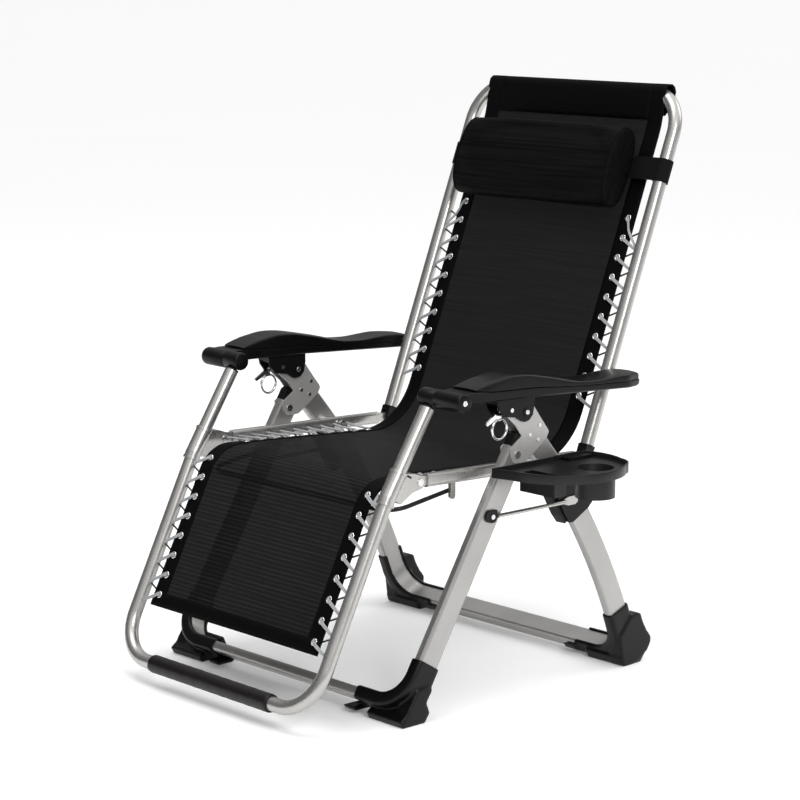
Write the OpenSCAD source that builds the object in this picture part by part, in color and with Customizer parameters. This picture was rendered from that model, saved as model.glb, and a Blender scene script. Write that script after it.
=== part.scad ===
// Zero gravity recliner: folding lounge chair with a laced sling, a four bar
// recline linkage on each side and two folding U shaped leg frames.
// X is the sitter's left, Y points to the back rest, Z is up, floor at Z = 0.
// The side profile is laid out in the YZ plane with all values in millimetres.

/* [Frame tubes] */
// Outer diameter of the round frame tubes
tube_d = 26; // [24:0.5:26.5]
// Spacing of the two side tubes, centre to centre
frame_w = 540; // [530:2:546]
// Wall thickness of the tubes
wall = 1.4; // [1:0.1:2]
// Bend radius of the top and bottom bows
bow_r = 80; // [70:2:90]

/* [Legs] */
// Wide side of the flat leg tube
leg_w = 46; // [40:1:48]
// Narrow side of the flat leg tube
leg_t = 19; // [16:1:20]
// Bend radius where a leg turns into its floor bar
leg_bend = 60; // [50:2:70]

/* [Arm rests] */
// Width of the arm rest pad
arm_w = 65; // [58:1:70]
// Radius of the cross barrel at the front of the arm rest
barrel_r = 17; // [16.5:0.1:18]

/* [Sling and lacing] */
// Width of the sling between its side hems
sling_w = 458; // [450:2:462]
// Thickness of the sling solids
sling_t = 2.4; // [2:0.2:3]
// Spacing of the two rows of eyelets
eyelet_w = 438; // [430:2:440]
// Diameter of the lacing cord
cord_d = 3.6; // [3:0.1:4]

/* [Head pillow] */
// Length of the pillow along X
pillow_l = 412; // [396:4:440]
// Height of the pillow along the back rest
pillow_h = 156; // [140:2:170]
// Thickness of the pillow
pillow_t = 72; // [60:2:84]

/* [Side tray] */
// Height of the tray rim above the floor
tray_z = 435; // [432:1:438]
// Outer radius of the cup pocket
cup_r = 36; // [34:0.5:37]
// Height of the clamp on the leg
clamp_h = 30; // [26:1:32]

/* [Hidden] */

shift = [-70.75, -665.85, 0];       // puts the origin under the middle of the whole chair
T = frame_w / 2;
r_t = tube_d / 2;
XL = T + 43;                     // mid plane of the flat legs
xi = XL - leg_t / 2;             // inner face of the legs
xo = XL + leg_t / 2;             // outer face of the legs

// pivots in the side plane, [y, z]
A = [444, 418];                  // seat rail on the gusset
F = [870.5, 405];                // back rest on the seat rail
B = [480, 562];                  // arm rest barrel on the foot frame
H = [929.5, 552.5];              // arm rest on the back tube
S = [738, 409];                  // seat rail on the rear leg
O = [638.5, 447];                // front leg on the hinge plates
P = [658, 522];                  // slide bracket on the hinge plates
TP = [575.5, 344];               // stay rod on the front leg
U = [790, 345];                  // stay rod on its slider

// lines of the bent side tubes, [y, z]
foot_top = [484, 566];  foot_knee = [375, 397];  foot_low = [198, 44.5];
back_low = [878.5, 425]; back_top = [1134, 1064];

// front leg: straight, direction from top to floor
fd = -[0.5219, 0.8530] / sqrt(0.5219 * 0.5219 + 0.8530 * 0.8530);
fq = [O[0] + fd[0] * 430, O[1] + fd[1] * 430];   // start of the floor bend
// rear leg: an arc in the side plane
rc = [-232.7, -369.4];  rR = 1244.1;
ra0 = 21.22;  ra1 = 42.4;
rq = [rc[0] + rR * cos(ra0), rc[1] + rR * sin(ra0)];
rd = [sin(ra0), -cos(ra0)];
function ry(z) = rc[0] + sqrt(rR * rR - (z - rc[1]) * (z - rc[1]));

function len3(v) = sqrt(v * v);
function un(v) = v / len3(v);
function bdir() = un(back_top - back_low);
function fdir() = un(foot_knee - foot_low);

// ---------- helpers ----------
module yz(x0, t) { translate([x0, 0, 0]) rotate([90, 0, 90]) linear_extrude(t) children(); }
module xcyl(x0, x1, p, r, fn = 48) { translate([x0, p[0], p[1]]) rotate([0, 90, 0]) cylinder(h = x1 - x0, r = r, $fn = fn); }
module xring(x0, x1, p, r, ri) { translate([x0, p[0], p[1]]) rotate([0, 90, 0]) difference() { cylinder(h = x1 - x0, r = r, $fn = 48); translate([0, 0, -1]) cylinder(h = x1 - x0 + 2, r = ri, $fn = 48); } }
module frame3(o, x, y, z) { multmatrix([[x[0], y[0], z[0], o[0]], [x[1], y[1], z[1], o[1]], [x[2], y[2], z[2], o[2]], [0, 0, 0, 1]]) children(); }
// straight round bar between two points
module bar(a, b, r, ri = 0) {
  z = un(b - a);
  h = abs(z[0]) > 0.9 ? [0, 1, 0] : [1, 0, 0];
  x = un(cross(h, z));
  frame3(a, x, cross(z, x), z) linear_extrude(len3(b - a)) ring2d(r, ri);
}
module ring2d(r, ri) { if (ri > 0) difference() { circle(r = r, $fn = 48); circle(r = ri, $fn = 48); } else circle(r = r, $fn = 48); }
// flat U tube: arms along local +Y at x = w and -w, bow at y = L
module utube(w, L, R, r, ri) {
  both() translate([w, 0, 0]) rotate([-90, 0, 0]) linear_extrude(L - R) ring2d(r, ri);
  both() translate([w - R, L - R, 0]) rotate_extrude(angle = 90, $fn = 72) translate([R, 0]) ring2d(r, ri);
  translate([R - w, L, 0]) rotate([0, 90, 0]) linear_extrude(2 * (w - R)) ring2d(r, ri);
}
module inplane(a, b) { d = un(b - a); frame3([0, a[0], a[1]], [1, 0, 0], [0, d[0], d[1]], [0, -d[1], d[0]]) children(); }
// rounded rectangle, eight sided corners
module flat(a, b, c = 5) {
  k = c * 0.29;
  polygon([[a / 2, b / 2 - c], [a / 2 - k, b / 2 - k], [a / 2 - c, b / 2], [-a / 2 + c, b / 2], [-a / 2 + k, b / 2 - k], [-a / 2, b / 2 - c],
    [-a / 2, -b / 2 + c], [-a / 2 + k, -b / 2 + k], [-a / 2 + c, -b / 2], [a / 2 - c, -b / 2], [a / 2 - k, -b / 2 + k], [a / 2, -b / 2 + c]]);
}
function v3(x, p) = [x, p[0], p[1]];
module both() { children(); mirror([1, 0, 0]) children(); }
// floor bend and floor bar of a leg frame; q and d are [y, z]
module floor_bend(q, d, w, t) {
  frame3([XL - leg_bend, q[0], q[1]], [1, 0, 0], [0, d[0], d[1]], [0, -d[1], d[0]])
    rotate_extrude(angle = 90, $fn = 72) translate([leg_bend, 0]) flat(t, w);
}
module floor_bar(q, d, w, t, x0, x1) {
  c = q + leg_bend * d;
  frame3([x0, c[0], c[1]], [0, d[0], d[1]], [0, -d[1], d[0]], [1, 0, 0]) linear_extrude(x1 - x0) flat(t, w);
}
// flat sided U in a local plane, arms along +Y at x = w and -w, bow at y = L
module uflat(w, L, R, t, h) {
  both() translate([w, 0, 0]) rotate([-90, 0, 0]) linear_extrude(L - R) flat(t, h);
  both() translate([w - R, L - R, 0]) rotate_extrude(angle = 90, $fn = 72) translate([R, 0]) flat(t, h);
  translate([R - w, L, 0]) rotate([0, 90, 0]) linear_extrude(2 * (w - R)) flat(h, t);
}
module front_solid(w, t, over = 0) inplane(O - (8 + over) * fd, O + 490 * fd) uflat(XL, 498 + over, leg_bend, t, w);
module rear_solid(w, t, over = 0) {
  both() frame3([XL, rc[0], rc[1]], [0, 1, 0], [0, 0, 1], [1, 0, 0]) rotate([0, 0, ra0]) rotate_extrude(angle = ra1 - ra0 + over, $fn = 90) translate([rR, 0]) flat(w, t);
  both() floor_bend(rq, rd, w, t);
  floor_bar(rq, rd, w, t, -XL + leg_bend, XL - leg_bend);
}

// ---------- rear leg frame ----------
module rear_leg_frame() color("silver") difference() {
  rear_solid(leg_w, leg_t);
  rear_solid(leg_w - 2 * wall, leg_t - 2 * wall, 0.1);
  both() xcyl(xi - 1, xo + 1, S, 4.05);
}
module front_leg_frame() color("silver") difference() {
  front_solid(leg_w, leg_t);
  front_solid(leg_w - 2 * wall, leg_t - 2 * wall, 2);
  both() xcyl(xi - 1, xo + 1, O, 4.05);
}
// foot cover: a jacket round the bend with a sole that reaches the floor
module foot_jacket(q, d, up) {
  intersection() {
    union() {
      frame3(v3(XL, q), [1, 0, 0], [0, d[1], -d[0]], [0, -d[0], -d[1]]) linear_extrude(up) flat(leg_t + 7, leg_w + 7, 6);
      floor_bend(q, d, leg_w + 7, leg_t + 7);
      floor_bar(q, d, leg_w + 7, leg_t + 7, XL - leg_bend - 52, XL - leg_bend);
    }
    translate([150, q[0] - 150, 0]) cube([260, 300, 300]);
  }
}
module front_foot(m) color("dimgray") mirror([m, 0, 0]) difference() {
  union() {
    inplane(O - 8 * fd, O + 490 * fd) intersection() {
      uflat(XL, 498, leg_bend, leg_t + 7, leg_w + 7);
      translate([XL - leg_bend - 52, 412, -60]) cube([leg_bend + 110, 200, 120]);
    }
    yz(XL - 78, 92) polygon([[356, 12], [362, 0], [414, 0], [426, 16], [416, 40], [392, 36]]);
    yz(XL - 14, 28) polygon([[362, 6], [368, 0], [396, 0], [405, 6], [413, 20], [420, 38], [432, 55], [426, 66], [396, 62], [372, 26]]);
    translate([XL - leg_bend - 75, 0, 0]) yz(0, 30) polygon([[352, 14], [358, 6], [392, 6], [402, 14]]);
  }
  front_solid(leg_w, leg_t);
  // open inner side, the metal shows between two rims
  inplane(O - 8 * fd, O + 490 * fd) uflat(XL - leg_t / 2 - 4, 498 - leg_t / 2 - 4, leg_bend - leg_t / 2 - 4, 11, leg_w - 10);
}
module inner_cut(q, d) {
  k = leg_t / 2 + 4;
  frame3([XL - leg_bend, q[0], q[1]], [1, 0, 0], [0, d[0], d[1]], [0, -d[1], d[0]])
    rotate_extrude(angle = 90, $fn = 72) translate([leg_bend - k, 0]) flat(11, leg_w - 10);
  c = q + (leg_bend - k) * d;
  frame3([XL - leg_bend - 80, c[0], c[1]], [0, d[0], d[1]], [0, -d[1], d[0]], [1, 0, 0]) linear_extrude(80.5) flat(11, leg_w - 10);
  frame3(v3(XL - k, q + 0.5 * d), [1, 0, 0], [0, d[1], -d[0]], [0, -d[0], -d[1]]) linear_extrude(40) flat(11, leg_w - 10);
}
module rear_foot(m) color("dimgray") mirror([m, 0, 0]) difference() {
  union() {
    intersection() { foot_jacket(rq, rd, 34); translate([150, 800, 0]) cube([260, 300, 300]); }
    yz(XL - 78, 92) polygon([[918, 16], [926, 0], [976, 0], [986, 14], [982, 40], [930, 34]]);
    yz(XL - 14, 30) polygon([[922, 4], [928, 0], [950, 0], [968, 6], [992, 20], [1002, 36], [1001, 47], [990, 60], [978, 80], [972, 96], [960, 100], [946, 96], [914, 60]]);
    translate([XL - leg_bend - 75, 0, 0]) yz(0, 30) polygon([[916, 18], [924, 8], [972, 8], [982, 18]]);
  }
  rear_solid(leg_w, leg_t);
  inner_cut(rq, rd);
}
module plate2d() {
  difference() {
    union() {
      polygon([[613, 517], [612, 532], [619, 541], [671, 542], [692, 514], [716.5, 483], [718, 478], [713, 469], [694, 454], [672, 439], [662, 433],
        [646, 431.5], [633, 434], [622.5, 443], [620, 460], [634, 469], [649, 479], [634, 499]]);
      translate(O) circle(r = 15, $fn = 48);
      translate(P) circle(r = 13, $fn = 48);
    }
    translate(O) circle(r = 4.05, $fn = 48);
    translate(P) circle(r = 4, $fn = 48);
  }
}
module hinge_plates(m) color("darkgray") mirror([m, 0, 0]) {
  yz(xi - 2.9, 2.5) plate2d();
  yz(xo + 0.4, 2.5) plate2d();
  // core between the two plates, behind the pivot
  yz(xi - 0.4, leg_t + 0.8) polygon([[672, 536], [675, 532], [708, 490], [702, 489.5], [694, 485], [686, 497], [672, 512]]);
}
module plate_rivets() color("white") both() for (p = [[694, 494], [669, 479], [690, 468]])
  { xcyl(xi - 4.4, xi - 2.9, p, 3.6); xcyl(xo + 2.9, xo + 4.4, p, 3.6); }
// pin and washers that carry the slide bracket on each side
module bracket_pivot_pins() color("silver") both() { xcyl(xi - 8.2, xo + 8.2, P, 4); xcyl(xo + 7.2, xo + 8.2, P, 9); xcyl(xi - 8.2, xi - 7.2, P, 9); }
module leg_pivot_rivets() color("silver") both() {
  xcyl(xi - 3.1, xo + 3.1, O, 4); xcyl(xo + 3.1, xo + 5, O, 6.5); xcyl(xi - 5, xi - 3.1, O, 6.5);
}
module seat_pivot_bolts() color("silver") both() {
  xcyl(T - 11, xo, S, 4); xcyl(xo, xo + 4, S, 7); xcyl(T - 15.5, T - 11, S, 7); xcyl(T + 11.5, xi, S, 9);
}
// ---------- front leg parts ----------
module legf(q) { frame3(v3(0, O), [1, 0, 0], [0, -fd[1], fd[0]], [0, -fd[0], -fd[1]]) children(); }
module front_leg_plugs() color("dimgray") both() frame3([XL - leg_t / 2, O[0], O[1]], [0, -fd[1], fd[0]], [0, -fd[0], -fd[1]], [1, 0, 0])
  linear_extrude(leg_t) polygon([[-22, 8], [-22, 30], [-17.5, 36], [-9, 37.5], [17, 16], [22, 8]]);
module stay_tabs() color("dimgray") both() yz(xo, 5) translate(TP) rotate(-4)
  polygon([[-16, 2], [-14, 8], [-8, 11.5], [12, 11.5], [12.2, 2], [12, -3], [11, -6.5], [8.5, -9.5], [5, -11.2], [-2, -11.5], [-11, -9], [-16, -3]]);
module stay_tab_rivets() color("white") both() { xcyl(xo + 5, xo + 7, TP, 4.5); }
module stay_rod(m) color("silver") mirror([m, 0, 0]) {
  a = TP + [13.2, 0.5]; b = U - [12, 0];
  bar(v3(xo + 4, a + [0, -1]), v3(xo + 12.2, b + [-22, 0]), 3.6);
  yz(xo + 7.6, 3) polygon([b + [-26, -4.5], b + [-14, -8], b + [4, -8], b + [10, -4], b + [10, 4], b + [4, 8], b + [-14, 8], b + [-26, 4.5]]);
}
module stay_slider(m) color("dimgray") mirror([m, 0, 0]) {
  yz(xo + 0.5, 6.5) polygon([[735, 362], [745, 386], [757, 394], [776, 389], [796, 368], [833, 336], [822, 325], [781, 303], [772, 303], [760, 318], [752, 332]]);
  // lip in front of the leg
  difference() {
    yz(xi, leg_t + 3) polygon([[733, 357], [741, 377], [748, 388], [737, 393], [726, 381], [725, 360], [749, 319], [763, 302], [774, 309], [757, 329], [744, 351]]);
    frame3([XL, rc[0], rc[1]], [0, 1, 0], [0, 0, 1], [1, 0, 0]) rotate([0, 0, ra0]) rotate_extrude(angle = ra1 - ra0, $fn = 90) translate([rR, 0]) flat(leg_w + 5.4, leg_t + 0.8);
  }
  xcyl(xo + 7, xo + 7.5, [770, 371], 4.2);
  xcyl(xo + 7, xo + 7.4, U, 6);
}
// ---------- seat ----------
module rail2d() { polygon([for (i = [0:23]) let(a = i * 15) [8 * cos(a), (a <= 180 ? 4.5 : -4.5) + 8 * sin(a)]]); }
module rail_bar() {
  d = un(F - A); n = [-d[1], d[0]];
  frame3(v3(T, A + 22 * d), [1, 0, 0], [0, n[0], n[1]] * -1, [0, d[0], d[1]] ) linear_extrude(len3(F - A) - 52) rail2d();
}
module seat_rail(m) color("silver") mirror([m, 0, 0]) {
  d = un(F - A); n = [-d[1], d[0]];
  a = A + 30 * d; b = F - 30 * d;
  difference() {
    union() {
      rail_bar();
      yz(T - 4, 8) difference() {
        union() {
          polygon([a + 10 * d + 8.6 * n, a + 10 * d - 8.6 * n, A - 8.6 * n, A + 8.6 * n]);
          translate(A) circle(r = 9, $fn = 48);
          polygon([b - 10 * d + 8.6 * n, b - 10 * d - 8.6 * n, F - 8.6 * n, F + 8.6 * n]);
          translate(F) circle(r = 9, $fn = 48);
        }
        translate(A) circle(r = 4.05, $fn = 48);
        translate(F) circle(r = 4.05, $fn = 48);
      }
    }
    xcyl(T - 20, T + 20, S, 4.05);
  }
}
module under_seat_rod() color("black") inplane([538, 386], [400, 366]) utube(254, 139.4, 40, 4, 0);
module under_seat_posts() color("silver") both() difference() {
  union() { translate([259.3, 532, 378]) cube([6, 12, 32]); translate([259.3, 538, 378]) rotate([0, 90, 0]) cylinder(h = 6, r = 6, $fn = 32); }
  rail_bar();
}
// ---------- sling ----------
// panel in the plane of a tube line: p0 and p1 are [y, z], rows are distances from p0
module panel(p0, p1, w, rows) {
  d = un(p1 - p0); n = [-d[1], d[0]];
  frame3([0, p0[0], p0[1]], [1, 0, 0], [0, d[0], d[1]], [0, -n[0], -n[1]] * -1) difference() {
    translate([-w / 2, 0, -sling_t / 2]) cube([w, len3(p1 - p0), sling_t]);
    for (s = rows, x = [-1, 1]) translate([x * eyelet_w / 2, s, -5]) cylinder(h = 10, r = 3.4, $fn = 24);
  }
}
module eyelet_rows(p0, p1, rows) {
  d = un(p1 - p0); n = [-d[1], d[0]];
  frame3([0, p0[0], p0[1]], [1, 0, 0], [0, d[0], d[1]], [0, -n[0], -n[1]] * -1)
    for (s = rows, x = [-1, 1]) translate([x * eyelet_w / 2, s, 0]) rotate_extrude($fn = 32)
      polygon([[2.5, -2.2], [5.8, -2.2], [5.8, -sling_t / 2], [3.4, -sling_t / 2], [3.4, sling_t / 2], [5.8, sling_t / 2], [5.8, 2.2], [2.5, 2.2]]);
}
// swept cord: closed polyhedron with k sides round a list of points
function perp(t) = let(h = abs(t[0]) > 0.8 ? [0, 1, 0] : [1, 0, 0]) un(cross(h, t));
function carry(u, t) = un(u - (u * t) * t);
function frames(p, i = 0, u = undef, acc = []) = i >= len(p) ? acc :
  let(t = un(i == 0 ? p[1] - p[0] : i == len(p) - 1 ? p[i] - p[i - 1] : p[i + 1] - p[i - 1]), v = is_undef(u) ? perp(t) : carry(u, t))
  frames(p, i + 1, v, concat(acc, [[t, v]]));
module cord(p, r, k = 6) {
  f = frames(p); n = len(p);
  pts = [for (i = [0:n - 1], j = [0:k - 1]) let(a = 360 * j / k, t = f[i][0], u = f[i][1], w = cross(t, u)) p[i] + r * (cos(a) * u + sin(a) * w)];
  faces = concat([[for (j = [0:k - 1]) k - 1 - j]], [[for (j = [0:k - 1]) (n - 1) * k + j]],
    [for (i = [0:n - 2], j = [0:k - 1]) [i * k + j, i * k + (j + 1) % k, (i + 1) * k + (j + 1) % k, (i + 1) * k + j]]);
  polyhedron(points = pts, faces = [for (q = faces) [for (e = [len(q) - 1:-1:0]) q[e]]]);
}
// lacing: from an eyelet to a hole in the inner flank of the side member and on to the next eyelet
// local frame: x outwards, y along the row, z to the sitter's side; rx half width of the member,
// z0 and z1 height of the holes above the row at its two ends
function lace(s, i, x0, xw, zh) = let(a = s[i], g = s[i + 1] - a, q = cord_d / 2)
  [[x0 - 1, a, 0], [x0 + 1, a + 0.04 * g, -2.4 - q], [x0 + 8, a + 0.15 * g, -3.4 - q], [xw - 6, a + 0.4 * g, zh - 2], [xw + 1, a + 0.47 * g, zh - 0.6],
   [xw + 1, a + 0.53 * g, zh + 0.6], [xw - 6, a + 0.6 * g, zh + 2], [x0 + 8, a + 0.85 * g, 3.4 + q], [x0 + 1, a + 0.96 * g, 2.4 + q]];
module lacing(p0, p1, rows, m, rx, z0 = 0, z1 = 0) {
  d = un(p1 - p0); n = [-d[1], d[0]]; k = len(rows) - 1;
  pp = [for (i = [0:k - 1]) each lace(rows, i, eyelet_w / 2, T - rx, z0 + (z1 - z0) * i / k)];
  q = concat(pp, [[eyelet_w / 2 - 1, rows[k], 0]]);
  color("lightgray") mirror([m, 0, 0]) frame3([0, p0[0], p0[1]], [1, 0, 0], [0, d[0], d[1]], [0, -n[0], -n[1]] * -1) cord(q, cord_d / 2);
}
// rows of eyelets, distances along each line in millimetres
rows_back = [for (i = [0:9]) 76.7 + i * 38.9];
rows_seat = [for (i = [0:9]) 12 + i * 34.2];
rows_leg = [for (i = [0:7]) 22 + i * 38.7];
sb0 = back_low + 10 * un(back_top - back_low);  sb1 = back_top - 20 * un(back_top - back_low);
ss0 = [452, 414]; ss1 = [836, 392];
sl0 = foot_low + 101 * un(foot_knee - foot_low); sl1 = foot_knee + 12 * un(foot_knee - foot_low);

module sling_back() color("black") union() {
  d = un(back_top - back_low); n = [-d[1], d[0]]; c = back_top;
  panel(sb0, c - 44 * d, sling_w, rows_back);
  // sleeve round the top bow
  yz(-190, 380) difference() {
    union() { translate(c) circle(r = r_t + 2.7, $fn = 64); polygon([c + 15 * n - 4 * d, c - 15 * n - 4 * d, c - 46 * d - 2 * n, c - 46 * d + 2 * n]); }
    translate(c) circle(r = r_t + 0.5, $fn = 64);
    polygon([c + 12.5 * n - 4 * d, c - 12.5 * n - 4 * d, c - 40 * d]);
  }
}
module sling_seat() color("black") panel(ss0, ss1, sling_w - 4, rows_seat);
module sling_leg() color("black") panel(sl0, sl1, sling_w, rows_leg);
module eyelets_back() color("white") eyelet_rows(sb0, sb1, rows_back);
module eyelets_seat() color("white") eyelet_rows(ss0, ss1, rows_seat);
module eyelets_leg() color("white") eyelet_rows(sl0, sl1, rows_leg);

// ---------- back rest ----------
module back_frame_tube() color("silver") difference() {
  inplane(back_low, back_top) utube(T, len3(back_top - back_low), bow_r, r_t, r_t - wall);
  both() xcyl(T - 20, T + 20, H, 4);
}
module back_hinge_blocks() color("dimgray") both() difference() {
  union() {
    bar(v3(T, back_low + 30 * bdir()), v3(T, back_low), r_t - wall);
    bar(v3(T, back_low), v3(T, back_low - 3 * bdir()), r_t);
    yz(T - 11, 22) { polygon([back_low + [-11, 3.5], back_low + [11, -5], F + [11, 2], F + [-11, 2]]); translate(F) circle(r = 11, $fn = 48); }
  }
  yz(T - 4.6, 9.2) union() { translate(F) circle(r = 15, $fn = 48); polygon([F + [0, 14], F + [0, -18], F + [-26, -18], F + [-26, 14]]); polygon([F + [-15, 0], F + [15, 0], F + [15, 8], F + [2, 13], F + [-15, 13]]); }
  xcyl(T - 13, T + 13, F, 4);
}
// rivets of the back hinge
module back_pivot_pins() color("silver") both() { xcyl(T - 11, T + 11, F, 4); xcyl(T + 11, T + 13, F, 7); xcyl(T - 13, T - 11, F, 7); }
module arm_bolts() color("silver") both() {
  xcyl(T - 12.4, T + 18.5, H, 4);
}
// ---------- head pillow ----------
module head_pillow() color("black") {
  d = un(back_top - back_low); n = [-d[1], d[0]];
  c = back_top - 167 * d + (pillow_t / 2 + 12) * n;
  frame3([-pillow_l / 2 + 4, c[0], c[1]], [0, d[0], d[1]], [0, n[0], n[1]], [1, 0, 0] ) linear_extrude(pillow_l - 8)
    polygon([for (i = [0:35]) let(a = i * 10, cx = cos(a), sy = sin(a)) [pillow_h / 2 * sign(cx) * pow(abs(cx), 0.75), pillow_t / 2 * sign(sy) * pow(abs(sy), 0.85)]]);
}
module pillow_straps() color("black") both() {
  d = un(back_top - back_low);
  c = back_top - 155 * d;
  frame3(v3(T, c - 22 * d), [1, 0, 0], [0, d[1], -d[0]], [0, d[0], d[1]]) linear_extrude(44) difference() {
    union() { circle(r = r_t + 2.4, $fn = 64); translate([pillow_l / 2 - 4.2 - T, -r_t - 1.6]) square([T - pillow_l / 2 + 4.2, 2.6]); }
    circle(r = r_t + 0.5, $fn = 64);
  }
}
// ---------- foot frame ----------
fu = un(foot_top - foot_knee);
foot_end = foot_top - 26 * fu;
kn = foot_knee - 1 * fdir();
module foot_frame_tube() color("silver") inplane(kn, foot_low) utube(T, len3(kn - foot_low), bow_r, r_t, r_t - wall);
// straight posts from the gussets up to the arm rests
module foot_posts() color("silver") both() bar(v3(T, foot_knee + fu), v3(T, foot_end), r_t, r_t - wall);
// knuckle in the tube end, carried on the axle of the arm rest barrel
module foot_knuckles() color("silver") both() difference() {
  union() {
    bar(v3(T, foot_end), v3(T, foot_end - 20 * fu), r_t - wall);
    bar(v3(T, foot_end), v3(T, foot_end + 3 * fu), r_t);
    bar(v3(T, foot_end + 2 * fu), v3(T, B - 6 * fu), 8);
    xcyl(T - 11, T + 11, B, 10.5);
  }
  xcyl(T - 12, T + 12, B, 6.8);
}
module gusset(m) color("silver") mirror([m, 0, 0]) {
  u = fu; v = fdir();
  p1 = foot_knee + 52 * u; p0 = foot_knee;
  difference() {
    union() {
      bar(v3(T, p0), v3(T, p1), r_t + 2);
      bar(v3(T, p1 - 5 * u), v3(T, p1), r_t + 3.2);
      bar(v3(T, p0 - 12 * v), v3(T, p0 + 3 * v), r_t + 2.3);
      bar(v3(T, p0 - 12 * v), v3(T, p0 - 7 * v), r_t + 3.4);
      yz(T - 11, 22) union() {
        polygon([p1 - 3 * u, [432, 435], A + [6, 10], A + [11, 2], A + [10, -6], A + [2, -12], [425, 402], [398, 386], p0 + 2 * u]);
        translate(A) circle(r = 12, $fn = 48);
      }
    }
    bar(v3(T, p0 + u), v3(T, p1 + 9 * u), r_t + 0.12);
    bar(v3(T, p0 - 15 * v), v3(T, p0 - v), r_t + 0.04);
    // fork for the rail tongue
    yz(T - 4.6, 9.2) union() { translate(A) circle(r = 15, $fn = 48); polygon([A + [0, -15], A + [40, -15], A + [40, 16], A + [0, 16]]); }
    // slot
    yz(T - 20, 40) translate([418, 431.5]) rotate(-28) square([11, 3.6], center = true);
    xcyl(T - 20, T + 20, A, 4);
  }
}
module gusset_pins() color("silver") both() { xcyl(T - 11, T + 11, A, 4); xcyl(T + 11, T + 13, A, 6.5); xcyl(T - 13, T - 11, A, 6.5); }
module foot_grip() color([0.12, 0.09, 0.08]) difference() { bar([-168, foot_low[0], foot_low[1]], [168, foot_low[0], foot_low[1]], r_t + 3); bar([-169, foot_low[0], foot_low[1]], [169, foot_low[0], foot_low[1]], r_t + 0.02); }
// ---------- arm rest ----------
// height of the pad along Y: thin front edge, hump, dip and a flat rear end
arm_line = [[500, 577], [514, 581], [552, 591], [602, 598], [640, 596], [705, 583], [770, 567], [823, 563.5], [885, 567.5], [930, 565.5], [944, 562], [960, 556]];
function arm_top(y) = (lookup(y - 12, arm_line) + 2 * lookup(y, arm_line) + lookup(y + 12, arm_line)) / 4;
module armrest(m) color([0.1, 0.1, 0.1]) mirror([m, 0, 0]) difference() {
  union() {
    yz(T + 18, arm_w) polygon(concat([for (y = [514:10:934]) [y, arm_top(y)]], [[943, 561.5], [946, 556], [945, 545], [940, 537], [926, 537.8], [656, 552.5], [520, 556], [486, 560], [486, 576], [514, 578.5]]));
    xcyl(T - 20, T + 85, B, barrel_r);
    yz(T + 18, arm_w) polygon([[480, 562], [482, 546], [505, 543], [514, 548], [520, 558], [520, 578], [480, 578]]);
  }
  // channel for the slide bracket
  yz(XL - 18, 36) polygon([[498, 530], [498, 569.5], [712, 566], [712, 530]]);
  // room for the knuckle of the foot frame
  xcyl(T - 14, T + 14, B, 13.4);
  yz(T - 14, 28) polygon([B, B + [-34, 12], B + [-34, -40], B + [14, -40]]);
  xcyl(T + 17, T + 40, H, 4.05);
}
module armrest_all(m) {
  armrest(m);
  color("silver") mirror([m, 0, 0]) { xcyl(T - 15, T + 15, B, 3.6); xcyl(T + 85, T + 86.5, B, 4.5); }
}
module slide_bracket(m) color([0.08, 0.08, 0.08]) mirror([m, 0, 0]) {
  difference() {
    union() {
      for (x = [xi - 7, xo + 3.6]) yz(x, 3.4) polygon([[583, 556], [587, 537], [600, 520], [631, 516], [643, 508], [652, 505], [664, 507], [673, 516], [677, 535], [677, 553]]);
      yz(xi - 7, leg_t + 14) polygon([[583, 551], [583, 564.5], [677, 562], [677, 549]]);
      yz(xi - 7, leg_t + 14) polygon([[583, 556], [586, 545], [590, 541.5], [594, 552], [592, 556]]);
    }
    xcyl(xi - 9, xo + 9, P, 7);
  }
}
module bracket_screws(m) color("white") mirror([m, 0, 0]) { xcyl(xo + 7, xo + 8.6, [619, 530], 4); xcyl(xi - 8.6, xi - 7, [619, 530], 4); }
module lock_ring(m) color("white") mirror([m, 0, 0]) {
  xr = XL + 5;
  translate([xr, 600, 497]) rotate([0, 90, 0]) rotate_extrude($fn = 48) translate([18, 0]) circle(r = 2.3, $fn = 16);
  // finger tab and hanger of the ring
  yz(xr - 1.7, 3.4) polygon([[605, 531.5], [598, 531.5], [590, 525.5], [580, 519.5], [568, 512], [566, 508.5], [569, 506], [583, 512], [592, 517], [595, 512.5], [603, 512.5], [603, 520], [606, 526]]);
  xcyl(xr - 5, xr + 5, [602, 528], 2.4);
}
// ---------- side tray ----------
module tray2d(e) {
  union() {
    intersection() { union() { translate([380, 690]) circle(r = 118 - e, $fn = 96); translate([424, 744]) circle(r = 53 - e, $fn = 96); } translate([338 + e, 500]) square([300, 400]); }
    polygon([[338 + e, 562 + e * 1.2], [380, 572 + e], [380, 690], [338 + e, 690]]);
  }
}
module side_tray() color([0.16, 0.16, 0.17]) difference() {
  union() {
    translate([0, 0, tray_z - 17]) linear_extrude(17) tray2d(0);
    translate([428, 731, tray_z - 61]) cylinder(h = 50, r = cup_r, $fn = 64);
    translate([366, 604, tray_z - 42]) cube([84, 30, 30]);
  }
  translate([0, 0, tray_z - 8]) linear_extrude(17) tray2d(3);
  translate([428, 731, tray_z - 58]) cylinder(h = 80, r = cup_r - 2.5, $fn = 64);
  translate([368.5, 606.5, tray_z - 39.5]) cube([79, 25, 60]);
  translate([0, 0, tray_z - 17.01]) linear_extrude(5.5) difference() { tray2d(3); translate([428, 731]) circle(r = cup_r + 0.01, $fn = 64); translate([365.9, 603.9]) square([84.2, 30.2]); }
  // window for the tongue of the clamp
  translate([337, 734.9, tray_z - 7.5]) cube([4.05, 60.2, 4.6]);
}
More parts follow.
